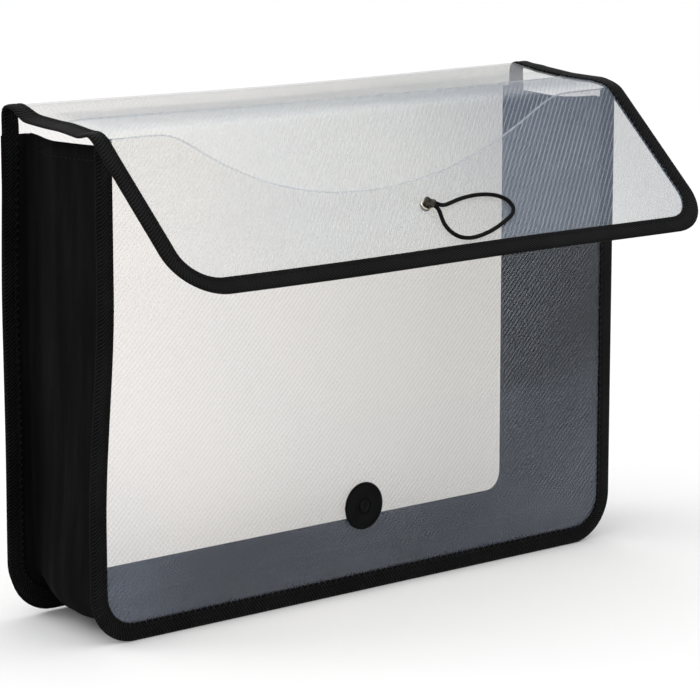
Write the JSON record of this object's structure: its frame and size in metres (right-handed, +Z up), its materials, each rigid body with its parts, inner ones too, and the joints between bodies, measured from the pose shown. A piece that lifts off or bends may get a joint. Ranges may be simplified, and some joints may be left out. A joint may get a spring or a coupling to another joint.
{
  "type": "portfolio case",
  "caption": "Clear ribbed film document case with a folded black fabric gusset, taped edges and a flap closed by an elastic loop and button.",
  "frame": {"origin": "middle of the front binding's bottom face, under the front film", "axes": "+X along the case's width to its right seen from the front, +Y from the front panel to the back panel, +Z up"},
  "size_m": [0.35, 0.1528, 0.2587],
  "materials": {
    "clear_film": "translucent, fine embossed diagonal ribs",
    "gusset_fabric": "matte black coated woven",
    "edge_tape": "black twill-woven binding tape",
    "thread": "black sewing thread",
    "button_plastic": "satin black moulded",
    "rivet_black": "gloss black",
    "washer_plastic": "matte black",
    "eyelet_metal": "polished, pale brass",
    "elastic_cord": "braided black elastic",
    "crimp_metal": "dark plated"
  },
  "bodies": {
    "back": {"back_panel": "clear_film", "back_binding": "edge_tape", "back_stitching": "thread", "gusset": "gusset_fabric", "gusset_hem_left": "gusset_fabric", "gusset_hem_right": "gusset_fabric", "gusset_stitching": "thread"},
    "front": {"front_panel": "clear_film", "front_binding": "edge_tape", "front_stitching": "thread", "button_rivet": "rivet_black", "rivet_washer": "washer_plastic"},
    "top": {"top_panel": "clear_film", "top_binding_left": "edge_tape", "top_binding_right": "edge_tape", "top_stitching": "thread"},
    "flap": {"flap_panel": "clear_film", "flap_binding": "edge_tape", "flap_stitching": "thread", "flap_eyelet": "eyelet_metal"},
    "button": {"button_disc": "button_plastic"},
    "elastic": {"elastic_loop": "elastic_cord", "elastic_crimp": "crimp_metal"}
  },
  "joints": [
    {"name": "front_collapse", "type": "slide", "parent": "back", "child": "front", "axis": [0, -1, 0], "range_m": [-0.062, 0], "deforming": ["gusset", "gusset_hem_left", "gusset_hem_right", "gusset_stitching"]},
    {"name": "top_fold", "type": "hinge", "parent": "back", "child": "top", "pos_m": [0, 0.0725, 0.258], "axis": [-1, 0, 0], "range_deg": [0, 180]},
    {"name": "flap_fold", "type": "hinge", "parent": "top", "child": "flap", "pos_m": [0, -0.0035, 0.2525], "axis": [-1, 0, 0], "range_deg": [-47, 132]},
    {"name": "button_turn", "type": "hinge", "parent": "front", "child": "button", "pos_m": [-0.004, -0.002, 0.046], "axis": [0, -1, 0], "continuous": true},
    {"name": "elastic_swivel", "type": "hinge", "parent": "flap", "child": "elastic", "pos_m": [-0.005, -0.05158, 0.20875], "axis": [0, -0.673, 0.7396], "range_deg": [0, 150]}
  ]
}
